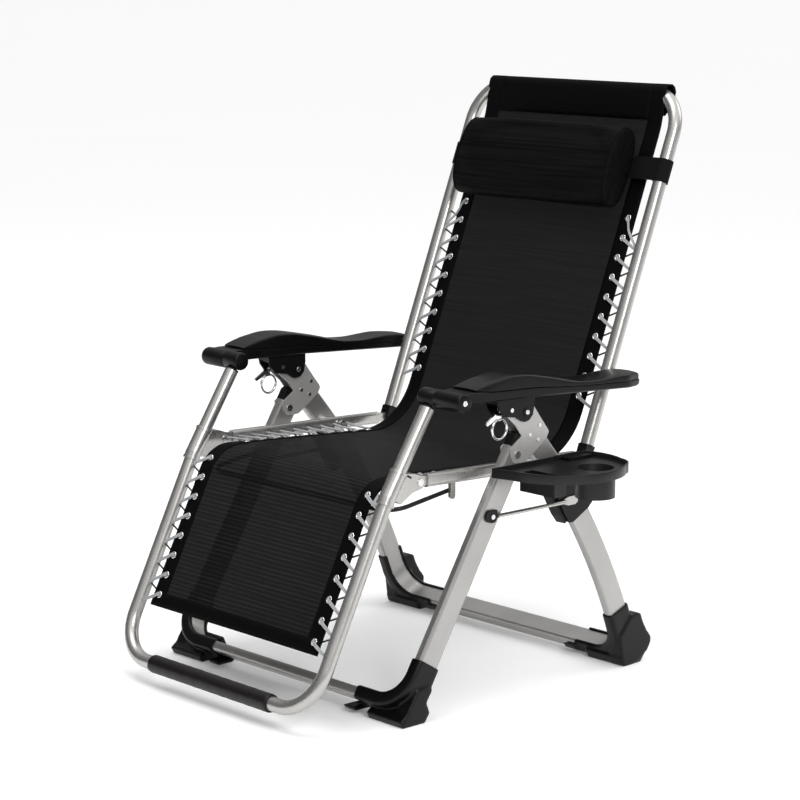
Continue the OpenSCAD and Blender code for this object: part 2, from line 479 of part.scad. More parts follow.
module tray_clamp() color([0.08, 0.08, 0.08]) difference() {
  union() {
    translate([xo + 0.6, 700, tray_z - 34]) cube([29, 96, 16.9]);
    translate([xo + 0.6, 700, tray_z - 34]) cube([337.9 - xo - 0.6, 96, clamp_h - 3.5]);
    translate([341.1, 700, tray_z - 20]) cube([xo + 29.6 - 341.1, 96, 8.4]);
    translate([xo + 0.6, 735, tray_z - 13]) cube([337.9 - xo - 0.6, 60, 9.8]);
    translate([337, 735, tray_z - 7.4]) cube([24.2, 60, 4.4]);
    yz(xi + 3, leg_t - 2) polygon([[ry(tray_z - 34) + 30.5, tray_z - 34], [ry(tray_z - 34) + 40, tray_z - 34], [ry(tray_z - 8) + 40, tray_z - 8], [ry(tray_z - 8) + 30.5, tray_z - 8]]);
  }
  // room for the head of the seat bolt
  xcyl(xo - 1, xo + 5, S, 8.5);
}

translate(shift) rear_leg_frame();
translate(shift) rear_foot(0);  // rear_foot_left
translate(shift) rear_foot(1);  // rear_foot_right
translate(shift) hinge_plates(0);  // hinge_plates_left
translate(shift) hinge_plates(1);  // hinge_plates_right
translate(shift) plate_rivets();
translate(shift) seat_pivot_bolts();
translate(shift) front_leg_frame();
translate(shift) front_foot(0);  // front_foot_left
translate(shift) front_foot(1);  // front_foot_right
translate(shift) front_leg_plugs();
translate(shift) leg_pivot_rivets();
translate(shift) bracket_pivot_pins();
translate(shift) stay_tabs();
translate(shift) stay_tab_rivets();
translate(shift) stay_rod(0);  // stay_rod_left
translate(shift) stay_rod(1);  // stay_rod_right
translate(shift) stay_slider(0);  // stay_slider_left
translate(shift) stay_slider(1);  // stay_slider_right
translate(shift) seat_rail(0);  // seat_rail_left
translate(shift) seat_rail(1);  // seat_rail_right
translate(shift) under_seat_rod();
translate(shift) under_seat_posts();
translate(shift) sling_seat();
translate(shift) eyelets_seat();
translate(shift) lacing(ss0, ss1, rows_seat, 0, 8, 3, 10);  // lacing_seat_left
translate(shift) lacing(ss0, ss1, rows_seat, 1, 8, 3, 10);  // lacing_seat_right
translate(shift) back_frame_tube();
translate(shift) back_hinge_blocks();
translate(shift) back_pivot_pins();
translate(shift) arm_bolts();
translate(shift) sling_back();
translate(shift) eyelets_back();
translate(shift) lacing(sb0, sb1, rows_back, 0, r_t);  // lacing_back_left
translate(shift) lacing(sb0, sb1, rows_back, 1, r_t);  // lacing_back_right
translate(shift) head_pillow();
translate(shift) pillow_straps();
translate(shift) foot_frame_tube();
translate(shift) foot_posts();
translate(shift) foot_knuckles();
translate(shift) gusset(0);  // gusset_left
translate(shift) gusset(1);  // gusset_right
translate(shift) gusset_pins();
translate(shift) foot_grip();
translate(shift) sling_leg();
translate(shift) eyelets_leg();
translate(shift) lacing(sl0, sl1, rows_leg, 0, r_t);  // lacing_leg_left
translate(shift) lacing(sl0, sl1, rows_leg, 1, r_t);  // lacing_leg_right
translate(shift) armrest_all(0);  // armrest_left
translate(shift) armrest_all(1);  // armrest_right
translate(shift) slide_bracket(0);  // slide_bracket_left
translate(shift) slide_bracket(1);  // slide_bracket_right
translate(shift) bracket_screws(0);  // bracket_screws_left
translate(shift) bracket_screws(1);  // bracket_screws_right
translate(shift) lock_ring(0);  // lock_ring_left
translate(shift) lock_ring(1);  // lock_ring_right
translate(shift) side_tray();
translate(shift) tray_clamp();
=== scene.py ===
import math
import bpy
import bmesh
import numpy as np
from mathutils.bvhtree import BVHTree
from mathutils import Matrix, Vector


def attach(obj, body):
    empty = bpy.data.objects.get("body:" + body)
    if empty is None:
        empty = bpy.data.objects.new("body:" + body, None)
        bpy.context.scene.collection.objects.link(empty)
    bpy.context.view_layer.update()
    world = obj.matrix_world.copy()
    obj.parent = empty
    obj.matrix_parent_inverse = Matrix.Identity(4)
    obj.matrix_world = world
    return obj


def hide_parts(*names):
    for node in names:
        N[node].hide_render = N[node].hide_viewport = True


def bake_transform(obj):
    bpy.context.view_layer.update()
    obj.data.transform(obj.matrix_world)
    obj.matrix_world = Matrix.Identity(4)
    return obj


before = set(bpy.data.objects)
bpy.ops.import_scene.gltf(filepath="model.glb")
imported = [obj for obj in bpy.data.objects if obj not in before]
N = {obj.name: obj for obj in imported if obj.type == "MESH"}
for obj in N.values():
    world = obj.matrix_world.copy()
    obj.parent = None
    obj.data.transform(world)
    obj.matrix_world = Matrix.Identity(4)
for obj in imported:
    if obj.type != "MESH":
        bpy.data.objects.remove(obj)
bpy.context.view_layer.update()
scene = bpy.context.scene

# ---------------------------------------------------------------- layout
# side profile values in millimetres, as in the CAD model, moved into the row frame
SX, SY = -70.75, -665.85
T, RT, XL, LT = 270.0, 13.0, 313.0, 19.0
A = np.array([444, 418.]); F = np.array([870.5, 405.]); B = np.array([480, 562.]); H = np.array([929.5, 552.5])
S = np.array([738, 409.]); O = np.array([638.5, 447.]); PB = np.array([658, 522.])
back_low = np.array([878.5, 425.]); back_top = np.array([1134, 1064.])
foot_low = np.array([198, 44.5]); foot_knee = np.array([375, 397.]); foot_top = np.array([484, 566.])
ss0 = np.array([452, 414.]); ss1 = np.array([836, 392.])


def unit(v):
    v = np.asarray(v, float)
    return v / np.linalg.norm(v)


bd = unit(back_top - back_low); bn = np.array([-bd[1], bd[0]])      # up the back, towards the sitter
vd = unit(foot_knee - foot_low); vn = np.array([-vd[1], vd[0]])     # up the leg panel, towards the sitter
sd = unit(ss1 - ss0); sn = np.array([-sd[1], sd[0]])
rows_back = [86.7 + 38.9 * i for i in range(10)]
rows_seat = [12 + 34.2 * i for i in range(10)]
rows_leg = [123 + 38.7 * i for i in range(8)]


def P(x, y, z):
    return Vector(((x + SX) / 1000, (y + SY) / 1000, z / 1000))


# ---------------------------------------------------------------- camera
AZ, EL = math.radians(47.2872), math.radians(10.2619)
cam_data = bpy.data.cameras.new("camera")
cam = bpy.data.objects.new("camera", cam_data)
scene.collection.objects.link(cam)
scene.camera = cam
back_v = Vector((math.sin(AZ) * math.cos(EL), -math.cos(AZ) * math.cos(EL), math.sin(EL)))
right_v = Vector((math.cos(AZ), math.sin(AZ), 0))
up_v = back_v.cross(right_v)
cam.matrix_world = Matrix((
    (right_v.x, up_v.x, back_v.x, 3.35872 + SX / 1000),
    (right_v.y, up_v.y, back_v.y, -2.44553 + SY / 1000),
    (right_v.z, up_v.z, back_v.z, 1.32798),
    (0, 0, 0, 1)))
cam_data.lens = 111.78
cam_data.sensor_width = 36
cam_data.clip_end = 500
cam_data.dof.use_dof = False
scene.view_settings.view_transform = "Standard"
scene.view_settings.look = "None"


# ---------------------------------------------------------------- materials
def new_mat(name):
    m = bpy.data.materials.new(name)
    m.use_nodes = True
    nt = m.node_tree
    bsdf = nt.nodes["Principled BSDF"]
    return m, nt, bsdf, nt.links


def coords(nt, scale=(1, 1, 1), kind="Object"):
    tc = nt.nodes.new("ShaderNodeTexCoord")
    mp = nt.nodes.new("ShaderNodeMapping")
    mp.inputs["Scale"].default_value = scale
    nt.links.new(tc.outputs[kind], mp.inputs["Vector"])
    return mp.outputs["Vector"]


def attr(nt, name, scale=(1, 1, 1)):
    a = nt.nodes.new("ShaderNodeAttribute")
    a.attribute_type = "GEOMETRY"
    a.attribute_name = name
    mp = nt.nodes.new("ShaderNodeMapping")
    mp.inputs["Scale"].default_value = scale
    nt.links.new(a.outputs["Vector"], mp.inputs["Vector"])
    return mp.outputs["Vector"]


def noise(nt, vec, scale, detail=2.0, rough=0.5):
    n = nt.nodes.new("ShaderNodeTexNoise")
    n.inputs["Scale"].default_value = scale
    n.inputs["Detail"].default_value = detail
    n.inputs["Roughness"].default_value = rough
    nt.links.new(vec, n.inputs["Vector"])
    return n.outputs["Fac"]


def ramp(nt, fac, stops):
    r = nt.nodes.new("ShaderNodeValToRGB")
    els = r.color_ramp.elements
    while len(els) > 1:
        els.remove(els[-1])
    els[0].position = stops[0][0]
    els[0].color = (*stops[0][1], 1)
    for p, c in stops[1:]:
        e = els.new(p)
        e.color = (*c, 1)
    nt.links.new(fac, r.inputs["Fac"])
    return r.outputs["Color"]


def maths(nt, op, a, b=None, c=None, clamp=False):
    m = nt.nodes.new("ShaderNodeMath")
    m.operation = op
    m.use_clamp = clamp
    for i, v in enumerate((a, b, c)):
        if v is None:
            continue
        if isinstance(v, (int, float)):
            m.inputs[i].default_value = v
        else:
            nt.links.new(v, m.inputs[i])
    return m.outputs[0]


def maprange(nt, v, a, b, c, d):
    m = nt.nodes.new("ShaderNodeMapRange")
    for i, x in zip((1, 2, 3, 4), (a, b, c, d)):
        m.inputs[i].default_value = x
    nt.links.new(v, m.inputs[0])
    return m.outputs[0]


def bump(nt, bsdf, height, strength, dist):
    b = nt.nodes.new("ShaderNodeBump")
    b.inputs["Strength"].default_value = strength
    b.inputs["Distance"].default_value = dist
    nt.links.new(height, b.inputs["Height"])
    nt.links.new(b.outputs["Normal"], bsdf.inputs["Normal"])


def paint(name, dark, light, rough, metallic):
    """Powder coated steel: fine orange peel, faint colour drift, slight scuffs."""
    m, nt, bsdf, ln = new_mat(name)
    v = coords(nt)
    drift = noise(nt, v, 9.0, 3.0)
    ln.new(ramp(nt, drift, [(0.3, dark), (0.7, light)]), bsdf.inputs["Base Color"])
    fleck = noise(nt, v, 620.0, 2.0)
    scuff = noise(nt, coords(nt, (30, 30, 6)), 3.0, 4.0, 0.6)
    r = maths(nt, "MULTIPLY_ADD", fleck, 0.10, rough - 0.07)
    r = maths(nt, "MULTIPLY_ADD", scuff, 0.08, r)
    ln.new(r, bsdf.inputs["Roughness"])
    bsdf.inputs["Metallic"].default_value = metallic
    bsdf.inputs["Coat Weight"].default_value = 0.25
    bsdf.inputs["Coat Roughness"].default_value = 0.3
    bump(nt, bsdf, maths(nt, "ADD", fleck, maths(nt, "MULTIPLY", noise(nt, v, 210.0, 1.0), 0.6)), 0.12, 0.0004)
    return m


def moulded(name, dark, light, rough, grain=900.0, strength=0.25, spec=0.5, sheen=0.0):
    """Moulded plastic: fine spark-eroded grain and slightly uneven gloss."""
    m, nt, bsdf, ln = new_mat(name)
    v = coords(nt)
    ln.new(ramp(nt, noise(nt, v, 14.0, 3.0), [(0.3, dark), (0.7, light)]), bsdf.inputs["Base Color"])
    g = noise(nt, v, grain, 2.0, 0.6)
    r = maths(nt, "MULTIPLY_ADD", g, 0.16, rough - 0.08)
    r = maths(nt, "MULTIPLY_ADD", noise(nt, v, 22.0, 3.0), 0.10, r)
    ln.new(r, bsdf.inputs["Roughness"])
    bsdf.inputs["Specular IOR Level"].default_value = spec
    if sheen:
        bsdf.inputs["Sheen Weight"].default_value = sheen
        bsdf.inputs["Sheen Roughness"].default_value = 0.4
    bump(nt, bsdf, g, strength, 0.0003)
    return m


def metal(name, dark, light, rough):
    m, nt, bsdf, ln = new_mat(name)
    v = coords(nt, (1, 1, 1))
    brushed = noise(nt, coords(nt, (60, 60, 900)), 2.0, 3.0)
    ln.new(ramp(nt, noise(nt, v, 60.0, 3.0), [(0.3, dark), (0.7, light)]), bsdf.inputs["Base Color"])
    ln.new(maths(nt, "MULTIPLY_ADD", brushed, 0.16, rough - 0.08), bsdf.inputs["Roughness"])
    bsdf.inputs["Metallic"].default_value = 1.0
    bump(nt, bsdf, brushed, 0.08, 0.0002)
    return m


def weave(name, through, hole, rough, spec, line_fn, base, gain):
    m, nt, bsdf, ln = new_mat(name)
    v = attr(nt, "fab", (1, 1, 1))
    sep = nt.nodes.new("ShaderNodeSeparateXYZ")
    ln.new(v, sep.inputs[0])
    u, w = sep.outputs[0], sep.outputs[1]
    pitch = 0.0022
    su = maths(nt, "ABSOLUTE", maths(nt, "SINE", maths(nt, "MULTIPLY", u, math.pi / pitch)))
    sw = maths(nt, "ABSOLUTE", maths(nt, "SINE", maths(nt, "MULTIPLY", w, math.pi / pitch)))
    strand = maths(nt, "MAXIMUM", su, sw)
    lines = line_fn(nt, u, w)
    k = base
    ln.new(ramp(nt, lines, [(0.0, (k * 0.7, k * 0.7, k * 0.73)), (1.0, (k * gain, k * gain, k * gain * 1.03))]), bsdf.inputs["Base Color"])
    bsdf.inputs["Roughness"].default_value = rough
    bsdf.inputs["Specular IOR Level"].default_value = spec
    hgt = maths(nt, "ADD", strand, maths(nt, "MULTIPLY", lines, 0.8))
    bump(nt, bsdf, hgt, 0.35, 0.0006)
    if hole:
        out = nt.nodes["Material Output"]
        tr = nt.nodes.new("ShaderNodeBsdfTransparent")
        mix = nt.nodes.new("ShaderNodeMixShader")
        gap = maths(nt, "SUBTRACT", 1.0, strand, clamp=True)          # 0 on strands, up to 1 in the holes
        op = maths(nt, "MULTIPLY", gap, through * 6.5, clamp=True)
        ln.new(op, mix.inputs["Fac"])
        ln.new(bsdf.outputs[0], mix.inputs[1])
        ln.new(tr.outputs[0], mix.inputs[2])
        ln.new(mix.outputs[0], out.inputs["Surface"])
    return m


def textilene(name, through, lateral, base=0.004, line_gain=1.0, hole=True):
    """PVC coated mesh: fine basket weave with faint lateral slubs."""
    def line_fn(nt, u, w):
        wob = noise(nt, attr(nt, "fab", (9, 420, 1)), 1.0, 3.0, 0.6)
        rib = noise(nt, attr(nt, "fab", (3.0, 230, 1)), 1.0, 2.0, 0.55)
        rib2 = maths(nt, "MULTIPLY_ADD", wob, 0.5, maths(nt, "MULTIPLY", rib, 0.7))
        lines = maprange(nt, rib2, 0.45, 0.80, 0.0, 1.0)
        return maths(nt, "MULTIPLY", lines, lateral, clamp=True)
    return weave(name, through, hole, 0.62, 0.05, line_fn, base, 4.0 * line_gain)


def ribbed(name, through, base=0.0045, gain=5.5):
    """The same cloth with raised lateral ribs about 8 mm apart."""
    def line_fn(nt, u, w):
        drift = noise(nt, attr(nt, "fab", (5, 22, 1)), 1.0, 2.0, 0.5)
        ph = maths(nt, "MULTIPLY_ADD", w, 2 * math.pi / 0.0078, maths(nt, "MULTIPLY", drift, 3.2))
        s0 = maths(nt, "POWER", maths(nt, "MULTIPLY_ADD", maths(nt, "SINE", ph), 0.5, 0.5), 3.0)
        amp = noise(nt, attr(nt, "fab", (7, 130, 1)), 1.0, 3.0, 0.6)
        return maths(nt, "MULTIPLY", s0, maprange(nt, amp, 0.3, 0.7, 0.15, 1.0), clamp=True)
    return weave(name, through, True, 0.6, 0.06, line_fn, base, gain)


def braid(name, c0, c1, c2):
    """Elastic lacing cord with a braided cover."""
    m, nt, bsdf, ln = new_mat(name)
    v = attr(nt, "fab", (1, 1, 1))
    sep = nt.nodes.new("ShaderNodeSeparateXYZ")
    ln.new(v, sep.inputs[0])
    a = maths(nt, "SINE", maths(nt, "MULTIPLY_ADD", sep.outputs[1], 2600.0, maths(nt, "MULTIPLY", sep.outputs[0], 12.566)))
    b = maths(nt, "SINE", maths(nt, "MULTIPLY_ADD", sep.outputs[1], 2600.0, maths(nt, "MULTIPLY", sep.outputs[0], -12.566)))
    h = maths(nt, "MAXIMUM", a, b)
    ln.new(ramp(nt, maprange(nt, h, -1, 1, 0, 1), [(0.0, c0), (0.55, c1), (1.0, c2)]), bsdf.inputs["Base Color"])
    bsdf.inputs["Roughness"].default_value = 0.62
    bsdf.inputs["Sheen Weight"].default_value = 0.2
    bump(nt, bsdf, h, 0.5, 0.0004)
    return m


def webbing(name):
    """Woven strap, ribs across its height, for pieces that keep their CAD mesh."""
    m, nt, bsdf, ln = new_mat(name)
    v = coords(nt)
    sep = nt.nodes.new("ShaderNodeSeparateXYZ")
    ln.new(v, sep.inputs[0])
    rib = maths(nt, "ABSOLUTE", maths(nt, "SINE", maths(nt, "MULTIPLY", sep.outputs[2], math.pi / 0.0021)))
    thread = noise(nt, coords(nt, (520, 520, 40)), 1.0, 2.0, 0.6)
    h = maths(nt, "MULTIPLY_ADD", thread, 0.6, rib)
    ln.new(ramp(nt, h, [(0.1, (0.0009, 0.0009, 0.001)), (1.2, (0.0052, 0.0052, 0.0055))]), bsdf.inputs["Base Color"])
    bsdf.inputs["Roughness"].default_value = 0.66
    bsdf.inputs["Specular IOR Level"].default_value = 0.06
    bump(nt, bsdf, h, 0.3, 0.0005)
    return m


M = {
    "tube": paint("tube_paint", (0.40, 0.39, 0.375), (0.47, 0.46, 0.445), 0.27, 0.88),
    "leg": paint("leg_paint", (0.36, 0.352, 0.343), (0.42, 0.411, 0.40), 0.34, 0.75),
    "plate": paint("plate_paint", (0.44, 0.432, 0.424), (0.52, 0.51, 0.50), 0.36, 0.45),
    "zinc": metal("zinc", (0.58, 0.58, 0.59), (0.74, 0.74, 0.75), 0.24),
    "chrome": metal("wire_chrome", (0.66, 0.66, 0.67), (0.84, 0.84, 0.85), 0.16),
    "black": moulded("black_plastic", (0.0022, 0.0022, 0.0024), (0.004, 0.004, 0.0044), 0.36, spec=0.2),
    "arm": moulded("arm_plastic", (0.0020, 0.0020, 0.0023), (0.0036, 0.0036, 0.004), 0.30, 700.0, 0.18, 0.16),
    "tray": moulded("tray_plastic", (0.0055, 0.0055, 0.006), (0.009, 0.009, 0.0095), 0.34, 800.0, 0.18, 0.28),
    "rubber": moulded("foot_rubber", (0.0018, 0.0018, 0.0018), (0.0036, 0.0035, 0.0033), 0.30, 500.0, 0.2, 0.22),
    "foam": moulded("foam_grip", (0.0034, 0.0024, 0.0023), (0.0068, 0.005, 0.0048), 0.34, 420.0, 0.35, 0.26),
    "sling": textilene("sling_mesh", 0.0062, 0.5, 0.0032, 0.9),
    "leg_sling": ribbed("sling_mesh_ribbed", 0.0058, 0.003, 5.0),
    "hem": textilene("hem_mesh", 0.0, 0.3, 0.0012, 0.7, hole=False),
    "pillow": textilene("pillow_mesh", 0.0, 0.9, 0.0012, 1.2, hole=False),
    "webbing": webbing("strap_webbing"),
    "cord": braid("lacing_cord", (0.07, 0.073, 0.082), (0.25, 0.256, 0.27), (0.44, 0.448, 0.46)),
    # darker copy of the lacing cord: painted shade for the strands that run under the hem
    "cord_painted_shade": braid("lacing_cord_painted_shade", (0.004, 0.004, 0.0045), (0.01, 0.01, 0.011), (0.025, 0.025, 0.027)),
    "wire": moulded("black_wire", (0.003, 0.003, 0.003), (0.005, 0.005, 0.005), 0.3, spec=0.28),
}


# ---------------------------------------------------------------- mesh helpers
def obj_from(name, verts, faces, mat, smooth=True):
    me = bpy.data.meshes.new(name)
    me.from_pydata([tuple(v) for v in verts], [], faces)
    me.validate()
    if smooth:
        me.polygons.foreach_set("use_smooth", [True] * len(me.polygons))
    o = bpy.data.objects.new(name, me)
    scene.collection.objects.link(o)
    me.materials.append(mat)
    return o


def set_fab(o, fab):
    a = o.data.attributes.new("fab", "FLOAT_VECTOR", "POINT")
    a.data.foreach_set("vector", np.asarray(fab, np.float32).ravel())


def apply_mods(o):
    dg = bpy.context.evaluated_depsgraph_get()
    me = bpy.data.meshes.new_from_object(o.evaluated_get(dg), preserve_all_data_layers=True, depsgraph=dg)
    o.modifiers.clear()
    old = o.data
    o.data = me
    bpy.data.meshes.remove(old)


def tube_mesh(name, pts, r, mat, sides=12, closed=False, fab=False, radii=None, caps=True):
    pts = [Vector(p) for p in pts]
    n = len(pts)
    verts, faces, fabs = [], [], []
    prev = None
    dist = 0.0
    for i, p in enumerate(pts):
        if closed:
            t = (pts[(i + 1) % n] - pts[i - 1]).normalized()
        else:
            t = (pts[min(i + 1, n - 1)] - pts[max(i - 1, 0)]).normalized()
        if prev is None:
            h = Vector((0, 0, 1)) if abs(t.z) < 0.8 else Vector((1, 0, 0))
            u = h.cross(t).normalized()
        else:
            u = (prev - prev.dot(t) * t).normalized()
        prev = u
        w = t.cross(u)
        if i:
            dist += (p - pts[i - 1]).length
        rr = radii[i] if radii else r
        for j in range(sides):
            a = 2 * math.pi * j / sides
            verts.append(p + rr * (math.cos(a) * u + math.sin(a) * w))
            fabs.append((j / sides, dist, 0))
    m = n if closed else n - 1
    for i in range(m):
        for j in range(sides):
            a, b = i * sides + j, i * sides + (j + 1) % sides
            c, d = ((i + 1) % n) * sides + (j + 1) % sides, ((i + 1) % n) * sides + j
            faces.append((a, b, c, d))
    if not closed and caps:
        faces.append(tuple(range(sides - 1, -1, -1)))
        faces.append(tuple((n - 1) * sides + j for j in range(sides)))
    o = obj_from(name, verts, faces, mat)
    if fab:
        set_fab(o, fabs)
    return o


def smooth_path(pts, step=0.003, k=6):
    """Catmull-Rom through pts."""
    p = [np.array(q, float) for q in pts]
    out = []
    for i in range(len(p) - 1):
        p0 = p[i - 1] if i else 2 * p[0] - p[1]
        p3 = p[i + 2] if i + 2 < len(p) else 2 * p[-1] - p[-2]
        for j in range(k):
            t = j / k
            out.append(0.5 * ((2 * p[i]) + (-p0 + p[i + 1]) * t + (2 * p0 - 5 * p[i] + 4 * p[i + 1] - p3) * t * t + (-p0 + 3 * p[i] - 3 * p[i + 1] + p3) * t ** 3))
    out.append(p[-1])
    return out


def bevel_cad(name, width=0.0008, angle=35, segs=2):
    o = N[name]
    w = o.modifiers.new("weld", "WELD")
    w.merge_threshold = 0.00002
    b = o.modifiers.new("bevel", "BEVEL")
    b.width = width
    b.segments = segs
    b.limit_method = "ANGLE"
    b.angle_limit = math.radians(angle)
    b.harden_normals = False
    b.use_clamp_overlap = True


def finish_cad(name, mat, angle=32):
    o = N[name]
    o.data.materials.clear()
    o.data.materials.append(mat)
    return o


def round_cad(name, angle=32):
    """Shade the narrow corner facets of a pressed tube as one round."""
    o = N[name]
    me = o.data
    me.polygons.foreach_set("use_smooth", [True] * len(me.polygons))
    me.set_sharp_from_angle(angle=math.radians(angle))
    w = o.modifiers.new("weighted", "WEIGHTED_NORMAL")
    w.mode = "FACE_AREA"
    w.weight = 100
    w.keep_sharp = True


# ---------------------------------------------------------------- sling profile
def fillet(corner, d_in, d_out, R, n=14):
    """Arc that leaves direction d_in and joins d_out at corner; both unit, in travel order."""
    d_in, d_out = unit(d_in), unit(d_out)
    turn = math.acos(max(-1, min(1, float(d_in @ d_out))))
    t = R * math.tan(turn / 2)
    p0 = corner - t * d_in
    side = d_in[0] * d_out[1] - d_in[1] * d_out[0]
    nrm = np.array([-d_in[1], d_in[0]]) * (1 if side > 0 else -1)
    c = p0 + R * nrm
    pts = []
    for i in range(n + 1):
        a = turn * i / n * (1 if side > 0 else -1)
        ca, sa = math.cos(a), math.sin(a)
        v = p0 - c
        pts.append(c + np.array([v[0] * ca - v[1] * sa, v[0] * sa + v[1] * ca]))
    return pts


def cross2(p, d, q, e):
    """where p + t d meets q + s e"""
    m = np.array([[d[0], -e[0]], [d[1], -e[1]]])
    t = np.linalg.solve(m, q - p)
    return p + t[0] * d


hip = cross2(ss0, sd, back_low, bd)
knee = cross2(ss0, sd, foot_low, vd)
SPLIT = ss0 + 188 * sd
R_BOW = RT + 1.6
sleeve = []
for i in range(0, 6):      # behind the bow, from the sewn line up
    k = i / 6
    sleeve.append(back_top - (46 - 40 * k) * bd - (1.6 + (R_BOW - 1.6) * math.sin(k * math.pi / 2) ** 1.0) * bn)
for i in range(0, 15):     # over the bow
    a = math.pi * i / 14
    sleeve.append(back_top - math.cos(a) * R_BOW * bn + math.sin(a) * R_BOW * bd)
for i in range(1, 8):      # down the front of the bow to the plane of the tubes
    k = i / 7
    sleeve.append(back_top - (4 + 76 * k) * bd + (R_BOW * (1 - k) ** 1.6) * bn)
hip_arc = fillet(hip, -bd, -sd, 134)
knee_arc = fillet(knee, -sd, -vd, 72)
path_a = list(sleeve)
path_a += hip_arc + [SPLIT]
path_b = [SPLIT] + knee_arc + [foot_low + 101 * vd]


def resample(pts, step):
    pts = [np.array(p, float) for p in pts]
    out = [pts[0]]
    s = [0.0]
    for p in pts[1:]:
        s.append(s[-1] + np.linalg.norm(p - pts[len(s) - 1]))
    total = s[-1]
    n = max(2, int(round(total / step)))
    xs = np.linspace(0, total, n + 1)
    arr = np.array(pts)
    return np.column_stack([np.interp(xs, s, arr[:, 0]), np.interp(xs, s, arr[:, 1])]), xs


def frame_of(path):
    tan = np.gradient(path, axis=0)
    tan /= np.linalg.norm(tan, axis=1)[:, None]
    # travel runs down the sling; the sitter's side is to the right of travel
    nrm = np.column_stack([tan[:, 1], -tan[:, 0]]) * -1
    return tan, nrm


class Sling:
    def __init__(self, pts, step, sag, s_off=0.0):
        self.path, self.s = resample(pts, step)
        self.tan, self.nrm = frame_of(self.path)
        self.sag = np.array([sag(p) for p in self.path])
        self.s_off = s_off

    def at(self, x, i, off=0.0):
        k = 1 - (x / 229.0) ** 2
        q = self.path[i] - self.nrm[i] * self.sag[i] * k + self.nrm[i] * off
        return P(x, q[0], q[1])

    def surface(self, name, mat, x0, x1, i0, i1, nx, th=0.0, lift=0.0, groove=None):
        xs = np.linspace(x0, x1, nx + 1)
        rows = list(range(i0, i1 + 1))
        verts, faces, fab = [], [], []
        layers = [lift] if th == 0 else [lift + th / 2, lift - th / 2]
        for L in layers:
            for i in rows:
                for x in xs:
                    edge = 1.0
                    verts.append(self.at(x, i, L * edge))
                    fab.append((x / 1000, (self.s[i] + self.s_off) / 1000, 0))
        w = nx + 1
        for li in range(len(layers)):
            base = li * len(rows) * w
            for r in range(len(rows) - 1):
                for c in range(nx):
                    a, b, d, e = base + r * w + c, base + r * w + c + 1, base + (r + 1) * w + c + 1, base + (r + 1) * w + c
                    faces.append((a, e, d, b) if li == 0 else (a, b, d, e))
        if th:
            h = len(rows) * w
            for r in range(len(rows) - 1):
                a, b = r * w, (r + 1) * w
                faces.append((a, a + h, b + h, b))
                a, b = r * w + nx, (r + 1) * w + nx
                faces.append((a, b, b + h, a + h))
            for c in range(nx):
                a, b = c, c + 1
                faces.append((a, b, b + h, a + h))
                a, b = (len(rows) - 1) * w + c, (len(rows) - 1) * w + c + 1
                faces.append((a, a + h, b + h, b))
        o = obj_from(name, verts, faces, mat)
        set_fab(o, fab)
        return o


def ease(t):
    t = max(0.0, min(1.0, t))
    return t * t * (3 - 2 * t)


def sag_a(p):
    up = (p - hip) @ bd
    if up > 0 and p[1] > 420:
        top = ease((640 - up) / 120)
        return 11.0 * top * ease((up - 10) / 160) + 9.0 * (1 - ease((up - 10) / 160))
    return 9.0 + 8.0 * ease((hip[0] - 60 - p[0]) / 120)


def sag_b(p):
    if p[1] > 400 and p[0] > 400:
        return 17.0 - 11.0 * ease((500 - p[0]) / 90)
    return 6.0


SA = Sling(path_a, 9.0, sag_a)
SB = Sling(path_b, 9.0, sag_b, SA.s[-1])
na, nb = len(SA.s) - 1, len(SB.s) - 1


def blend_a(o):
    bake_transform(o)


def blend_b(o):
    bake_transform(o)


def idx(sl, dist):
    return int(np.argmin(np.abs(sl.s - dist)))


pieces_a, pieces_b = [], []
main_a = SA.surface("sling_back_and_seat", M["sling"], -229, 229, 0, na, 44)
pieces_a.append(main_a)
main_b = SB.surface("sling_leg_and_seat", M["leg_sling"], -229, 229, 0, nb, 44)
pieces_b.append(main_b)
# doubled side hems
for sx, side in ((-1, "right"), (1, "left")):
    x0, x1 = sorted((sx * 201, sx * 235.5))
    pieces_a.append(SA.surface("hem_back_" + side, M["hem"], x0, x1, 0, na, 5, 2.6))
    pieces_b.append(SB.surface("hem_leg_" + side, M["hem"], x0, x1, 0, nb, 5, 2.6))
# bottom hem and the doubled layer under the sleeve
pieces_b.append(SB.surface("hem_foot_end", M["hem"], -235.5, 235.5, idx(SB, SB.s[-1] - 25), nb, 44, 2.8))
pieces_a.append(SA.surface("sleeve_layer", M["hem"], -202, 202, 6, idx(SA, 150), 40, 2.2))
for o in pieces_a:
    blend_a(o)
for o in pieces_b:
    blend_b(o)
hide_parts("sling_back", "sling_seat")
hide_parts("sling_leg")


# ---------------------------------------------------------------- eyelets and lacing
def local(p0, d, n, x, s, off):
    q = p0 + s * d + off * n
    return P(x, q[0], q[1])


def knee_drop(p0, s):
    """how far the cloth lies behind the straight leg line near the knee"""
    if p0 is not foot_low:
        return 0.0
    start = float(np.linalg.norm(knee - foot_low)) - 72 * math.tan(math.acos(float(sd @ vd)) / 2)
    return -max(0.0, s - start) ** 2 / (2 * 72)


